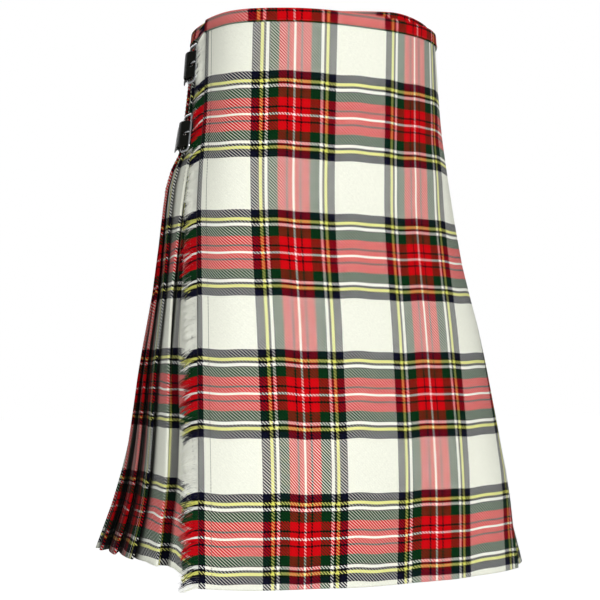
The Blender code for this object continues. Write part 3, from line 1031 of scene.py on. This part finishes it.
def addWaistband():
    end = float(foldStation(pleats["count"], 0.0))
    stations = np.arange(-apron["right"], end, band["stationStep"])
    inner, outer = bandOuter(stations)
    wave = band["pucker"] * np.sin(stations / band["puckerLength"] * 2 * math.pi)
    rows = []
    for share, rise, down in band["crest"]:
        rows.append((inner + (outer - inner) * share + rise, down, down))
    for share in np.linspace(0, 1, band["faceRows"] + 1)[1:]:
        down = band["crest"][-1][2] + share * (band["depth"] - band["crest"][-1][2])
        rows.append((outer + wave * share ** 2, down, down))
    inset, fall, length = band["tuck"]
    rows.append((outer - inset, band["depth"] + fall, band["depth"] + length))
    lifts, downs, used = zip(*rows)
    downs, used = np.array(downs)[:, None], np.array(used)[:, None]
    return bandSheet("bandStrip", ["waistband"], stations, np.stack(lifts), downs, 0.0, used)


def addInnerBand():
    # the under layer's waistband, which stands a little above the over apron on the wearer's left
    stations = np.arange(band["peek"][0][0], band["peek"][-1][0], band["stationStep"])
    heights = np.array([float(smoothColumn(band["peek"], 1, s)) for s in stations])
    rows = np.linspace(0, 1, band["peekRows"])[:, None]
    downs = band["peekBelow"] - rows * (band["peekBelow"] + heights)
    lifts = np.full(downs.shape, -foldLayer)
    return bandSheet("innerBand", [], stations, lifts, downs, apron["underSett"], downs + heights)


overApron = addOverApron()
underApron = addUnderApron()
leftPleats = addPleats("leftPleats", 1, pleats["leftHalf"], "pleats_left")
rightPleats = addPleats("rightPleats", pleats["leftHalf"] + 1, pleats["count"], "pleats_right")
waistband = addWaistband()
innerBand = addInnerBand()
print("cloth made")


# Fringe: the loose weft threads of the over apron's right edge, in two layers

fringe = {
    "threads": 1040,
    "length": 0.0172,
    "layers": ((0, 1), (0.0007, 0.84)),
    "points": 8,
    "radius": 0.00029,
    "inside": 0.002,
    "droop": 0.0074,
    "ragged": 0.15,
    "clumpThreads": (4, 11),
    "gather": 0.42,
    "groundLoose": 0.28,
    "curl": ((0, 0.003), (0.1, 0.0036), (0.25, 0.004), (0.35, 0.0034), (0.45, 0.0024),
             (0.6155, 0.0014)),
    "clumpDroop": 0.45,
    "clumpCurl": 0.6,
    "threadReach": 0.09,
    "threadDroop": 0.2,
    "threadCurl": 0.0003,
    "above": 0.0002,
    "droopCurve": 2.1,
    "gatherCurve": 1.4,
    "wave": 0.0002,
    "waveTurn": (7, 6.3),
    "taper": 0.35,
    "sides": 3,
}


def inGround(down):
    half = tartan["repeat"] / 2
    place = (down - tartan["firstGround"]) % tartan["repeat"]
    return half - np.abs(place - half) < half * tartan["sett"][0][1] / settTotal


def addFringe():
    paths, radii, places, sides = [], [], [], []
    for lift, share in fringe["layers"]:
        count = fringe["threads"]
        down = (np.arange(count) + 0.5) / count * clothLength
        starts = np.cumsum(chance.integers(*fringe["clumpThreads"], count))
        clump = np.searchsorted(starts, np.arange(count), side="right")
        clumps = clump.max() + 1
        middle = np.bincount(clump, down) / np.bincount(clump)
        clumpReach = fringe["ragged"] * chance.uniform(-1, 1, clumps)
        clumpDroop = fringe["droop"] * (1 + fringe["clumpDroop"] * chance.uniform(-1, 1, clumps))
        clumpCurl = fringe["clumpCurl"] * chance.uniform(-1, 1, clumps)
        loose = np.where(inGround(down), fringe["groundLoose"], 1.0)
        reach = fringe["length"] * share * (1 + loose * clumpReach[clump])
        reach = reach * (1 + fringe["threadReach"] * chance.uniform(-1, 1, count))
        droop = clumpDroop[clump] * (1 + fringe["threadDroop"] * chance.uniform(-1, 1, count))
        curl = tableAt(fringe["curl"], down) * (1 + loose * clumpCurl[clump])
        curl = curl + fringe["threadCurl"] * chance.uniform(-1, 1, count)
        gather = fringe["gather"] * loose * (middle[clump] - down)
        t = np.linspace(0, 1, fringe["points"])[:, None]
        edge = wovenEdge(down)
        station = edge + fringe["inside"] - t * (reach + fringe["inside"])
        drop = down + droop * t ** fringe["droopCurve"] + gather * t ** fringe["gatherCurve"]
        turns, start = fringe["waveTurn"]
        wave = fringe["wave"] * np.sin(turns * t + start * chance.uniform(0, 1, count))
        height = apronLift(edge, down) + fringe["above"] - lift + curl * t ** 2 + wave
        paths.append(onForm(station.T, height.T, drop.T))
        radii.append(fringe["radius"] * (1 - fringe["taper"] * t.T ** 3) * np.ones((count, 1)))
        places.append(np.stack([np.full(count, -apron["right"]), down], axis=1))
        sides.append(outwardAt(edge, down))
    paths, radii = np.concatenate(paths), np.concatenate(radii)
    sides = np.concatenate(sides)[:, None]
    piece = tubes("fringeThreads", paths, radii, fringe["sides"], sides, np.concatenate(places))
    return finish(piece, threadLook, "fringe", "apron_fringe")


addFringe()
print("fringe made")


# Sewing: the points of a stitch as shares of its length, and the rise of each over the cloth as a
# share of the rise

sewing = {
    "radius": 0.0003,
    "rise": 0.00022,
    "points": (0, 0.25, 0.75, 1),
    "rises": (-1.6, 1, 1, -1.6),
    "sides": 5,
    "fringeLine": {"fromEdge": 0.0128, "pitch": 0.0034, "share": 0.72},
    "bandStitches": {"fromEdge": 0.0016, "pitch": 0.003, "share": 0.66},
    "edgeLine": {"fromEdge": 0.0004, "pitch": 0.0024, "share": 0.55},
    "fellStitches": {"fromFold": 0.0012, "pitch": 0.0046, "share": 0.5},
    "step": 0.0015,
    "fromBand": 0.001,
    "fromHem": 0.002,
    "fellFromBand": 0.002,
    "bandEnd": 0.004,
}


def stitchPaths(line, outward, pitch, share):
    # separate stitches along a line of points, each sinking into the cloth at both ends
    lengths = walked(line)
    starts = np.arange(0, lengths[-1] - pitch, pitch)
    at = starts[:, None] + np.array(sewing["points"]) * pitch * share
    points, sides = readAlong(line, lengths, at), unit(readAlong(outward, lengths, at))
    rise = sewing["rise"] * np.array(sewing["rises"])
    return points + sides * rise[:, None], sides


def addSewing(name, look, places):
    # the named line of sewing, along each of some lines of places on the cloth
    kind = sewing[name]
    made = []
    for place in places:
        line, outward = onForm(*place), outwardAt(place[0], place[2])
        made.append(stitchPaths(line, outward, kind["pitch"], kind["share"]))
    paths, sides = (np.concatenate(parts) for parts in zip(*made))
    return finish(tubes(name, paths, sewing["radius"], sewing["sides"], sides), look)


def addClothSewing():
    half = cloth["wall"] / 2
    first, last = band["depth"] + sewing["fromBand"], clothLength - sewing["fromHem"]
    downs = np.arange(first, last, sewing["step"])
    for name in ("fringeLine", "edgeLine"):
        station = wovenEdge(downs) + sewing[name]["fromEdge"]
        lift = apronLift(station, downs) + drapeHeight(station, downs) + half
        addSewing(name, blackSewing, [(station, lift, downs)])
    end = float(foldStation(pleats["count"], 0.0)) - sewing["bandEnd"]
    station = np.arange(-apron["right"], end, sewing["step"])
    down = np.full(station.size, band["depth"] - sewing["bandStitches"]["fromEdge"])
    addSewing("bandStitches", redSewing, [(station, bandOuter(station)[1] + half, down)])
    downs = np.arange(band["depth"] + sewing["fellFromBand"], pleats["fell"], sewing["step"])
    places = []
    for pleat in range(1, pleats["count"]):
        station = foldStation(pleat, downs) - sewing["fellStitches"]["fromFold"]
        lift = layer + pleatHeight(pleat, downs) + half + swellAt(station, downs)
        places.append((station, lift, downs))
    addSewing("fellStitches", creamSewing, places)


addClothSewing()
print("sewing made")


# Straps, chapes, buckles and prongs, by the distance back from the edge of the over apron. Climb is
# the strap's rise over the frame and prong, as shares of its span and height

fastening = {
    "wire": 0.0015,
    "prongWire": 0.001,
    "frontBar": 0.019,
    "heelBar": 0.043,
    "frameHalfHeight": 0.0205,
    "frameCorner": 0.0055,
    "chapeEnd": 0.072,
    "strapEnd": 0.088,
    "legStep": 0.005,
    "strapHidden": -0.014,
    "strapFromFold": 0.0008,
    "climb": ((0.1, 0), (0.38, 0.12), (0.46, 0.3), (0.68, 0.88), (0.76, 0.98), (0.9, 1)),
    "prongStep": 2,
    "holeHalf": 0.0022,
    "holePitch": 0.0125,
    "firstHole": 0.0175,
    "lastHole": 0.012,
    "tipLength": 0.009,
    "tipShoulder": 0.55,
    "tipCut": ((0, 0.92), (1, 0.42), (4, 0.42), (5, 0.92)),
    "slotHalf": 0.003,
    "bend": 0.004,
    "strapLands": 0.013,
    "chapeLands": 0.011,
    "loopAngles": (-100, -140, -180, -220, -270),
    "loopShoulder": 53,
    "eyeAngles": (205, 500),
    "eyePoints": 22,
    "cornerSteps": 9,
    "wireSides": 16,
    "prongSides": 12,
    "prongBend": 1.5,
    "prongSide": 0.01,
}
gap, halfWidth = cloth["seamGap"], straps["width"] / 2
wire, prongWire = fastening["wire"], fastening["prongWire"]
front, heel, bend = fastening["frontBar"], fastening["heelBar"], fastening["bend"]
eye = wire + gap + prongWire
barHeight = gap + prongWire + eye
strapUnder = gap + straps["wall"] / 2
strapOver = barHeight + eye + prongWire + gap + straps["wall"] / 2
strapLying = gap + 2 * (straps["chapeWall"] + gap) + straps["wall"] / 2


def leg(start, end, height):
    steps = math.ceil(abs(end - start) / fastening["legStep"])
    return [(back, height) for back in np.linspace(start, end, steps + 1)]


def leatherSheet(name, node, rows, wall, holes):
    # a soft-edged strip of leather on a coarse grid of points, with some cells left open
    points = np.array(rows)
    across = points.shape[1] - 1
    cells = enumerate(gridFaces(*points.shape[:2]))
    faces = [face for cell, face in cells if divmod(cell, across) not in holes]
    piece = thicken(addMesh(name, points, faces), wall, even=True)
    soft = piece.modifiers.new("soft edges", "SUBSURF")
    soft.levels = soft.render_levels = 2
    return finish(piece, leatherLook, "leather", node)


class Fastening:
    # one strap with its buckle, laid on the pleats behind an edge of the over apron

    def __init__(self, name, side, down):
        self.name, self.side, self.down = name, side, down
        self.base = float(pleatsTop(down + halfWidth)) + cloth["foldCorner"]

    def station(self, back, down):
        edge = -apron["right"] if self.side < 0 else leftEdge(down)
        return edge + self.side * np.asarray(back)

    def place(self, back, width, height):
        # a point by its distance back from the apron's edge, down the cloth, and above the pleats
        down = self.down + np.asarray(width, dtype=float)
        return onForm(self.station(back, down), self.base + height, down)

    def rows(self, line, widths):
        return [self.place(back, np.array(widths), height) for back, height in line]

    def strap(self):
        rise, span = strapOver - strapUnder, heel - front
        start = fastening["strapHidden"] if self.side < 0 else fastening["strapFromFold"]
        line = leg(start, front - bend, strapUnder)
        line += [(front + share * span, strapUnder + up * rise) for share, up in fastening["climb"]]
        prongCell = len(line) - len(fastening["climb"]) + fastening["prongStep"]
        line += [(heel + bend, strapOver), (heel + fastening["strapLands"], strapLying)]
        holes, half, end = [], fastening["holeHalf"], fastening["strapEnd"]
        first, last = heel + fastening["firstHole"], end - fastening["lastHole"]
        for hole in np.arange(first, last, fastening["holePitch"]):
            holes.append(len(line))
            line += [(hole - half, strapLying), (hole + half, strapLying)]
        line += [(end - fastening["tipLength"], strapLying), (end, strapLying)]
        shoulder = fastening["tipShoulder"] * halfWidth
        rows = self.rows(line, (-halfWidth, -shoulder, -half, half, shoulder, halfWidth))
        for column, share in fastening["tipCut"]:
            rows[-1][column] = rows[-1][column] * (1 - share) + rows[-2][column] * share
        cells = {(row, 2) for row in [prongCell, *holes]}
        return leatherSheet("belt_" + self.name, "strap_" + self.name, rows, straps["wall"], cells)

    def chape(self):
        low = gap + straps["chapeWall"] / 2
        upper = low + straps["chapeWall"] + gap
        loop = wire + gap + straps["chapeWall"] / 2
        line = leg(fastening["chapeEnd"], heel + bend, low)
        slotStart = len(line) - 1
        for angle in fastening["loopAngles"]:
            turn = math.radians(angle)
            line.append((heel + loop * math.cos(turn), barHeight + loop * math.sin(turn)))
        line += [(heel + bend, barHeight + loop * math.sin(math.radians(fastening["loopShoulder"])))]
        slotEnd = len(line) - 1
        line += leg(heel + fastening["chapeLands"], fastening["chapeEnd"] - bend, upper)
        slot = fastening["slotHalf"]
        rows = self.rows(line, (-halfWidth, -slot, slot, halfWidth))
        cells = {(row, 1) for row in range(slotStart, slotEnd)}
        return leatherSheet("loop_" + self.name, "chape_" + self.name, rows, straps["chapeWall"], cells)

    def frame(self):
        corner = fastening["frameCorner"]
        middle, straightBack = (front + heel) / 2, (heel - front) / 2 - corner
        straightDown = fastening["frameHalfHeight"] - corner
        backs, widths = [], []
        for quarter, (x, y) in enumerate(((1, 1), (-1, 1), (-1, -1), (1, -1))):
            for turn in np.radians(90 * quarter + np.linspace(0, 90, fastening["cornerSteps"])):
                backs.append(middle + x * straightBack + corner * math.cos(turn))
                widths.append(y * straightDown + corner * math.sin(turn))
        path = self.place(backs, widths, barHeight)
        outward = outwardAt(self.station(middle, self.down), self.down)
        piece = tubes("frame_" + self.name, [path], wire, fastening["wireSides"], outward, closed=True)
        return finish(piece, steelLook, "steel", "buckle_" + self.name)

    def prong(self):
        turns = np.radians(np.linspace(*fastening["eyeAngles"], fastening["eyePoints"]))
        backs = list(heel + eye * np.cos(turns))
        heights = list(barHeight + eye * np.sin(turns))
        backs += [heel - fastening["prongBend"] * bend, front + bend, front - prongWire]
        heights += [barHeight + wire, barHeight + eye, barHeight + eye]
        path = self.place(np.array(backs), 0.0, np.array(heights))
        low, high = self.place(0.0, (-fastening["prongSide"], fastening["prongSide"]), 0.0)
        across = high - low
        piece = tubes("tongue_" + self.name, [path], prongWire, fastening["prongSides"], across)
        return finish(piece, steelLook, "steel", "prong_" + self.name)


for placed in straps["places"]:
    made = Fastening(*placed)
    made.strap()
    made.chape()
    made.frame()
    made.prong()
print("fastenings made")


# Floor and lights

def addStudio():
    size = studio["floorSize"] / 2
    around = ((-1, -1), (1, -1), (1, 1), (-1, 1))
    corners = [(x * size, y * size, studio["floorHeight"]) for x, y in around]
    floor = addMesh("floor", corners, [(0, 1, 2, 3)], smoothShade=False)
    floor.data.materials.append(makeFloor())
    world = bpy.data.worlds.new("studio")
    bpy.context.scene.world = world
    world.use_nodes = True
    tree = world.node_tree
    add, feed = nodeTools(tree)[:2]
    soft, seen = tree.nodes["Background"], add("ShaderNodeBackground")
    for glow, (color, strength) in ((soft, studio["world"]), (seen, studio["background"])):
        feed(glow.inputs, {"Color": (*color, 1), "Strength": strength})
    ray = add("ShaderNodeLightPath").outputs["Is Camera Ray"]
    both = add("ShaderNodeMixShader", {0: ray, 1: soft.outputs[0], 2: seen.outputs[0]}).outputs[0]
    feed(tree.nodes["World Output"].inputs, {"Surface": both})
    for name, place, width, watts in studio["lamps"]:
        data = bpy.data.lights.new(name, "AREA")
        data.size, data.energy = width, watts
        lamp = addObject(name, data)
        lamp.location = place
        aim = Vector(studio["aim"]) - Vector(place)
        lamp.rotation_euler = aim.to_track_quat("-Z", "Y").to_euler()


addStudio()
bpy.context.scene.view_settings.view_transform = "Standard"

for piece, flat, held, rests in (
    (overApron, (0.406, clothLength), "hung", ["underApron"]),
    (underApron, (0.344, clothLength), "hung", ["leftPleats", "rightPleats"]),
    (leftPleats, (0.758, clothLength), "folded", ["waistband"]),
    (rightPleats, (0.735, clothLength), "folded", ["waistband"]),
    (waistband, (0.8, 0.0243), "folded", ["overApron", "leftPleats", "rightPleats"]),
    (innerBand, (0.225, 0.018), "folded", ["underApron"]),
):
    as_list(rests)
print("studio made")

bpy.context.view_layer.update()
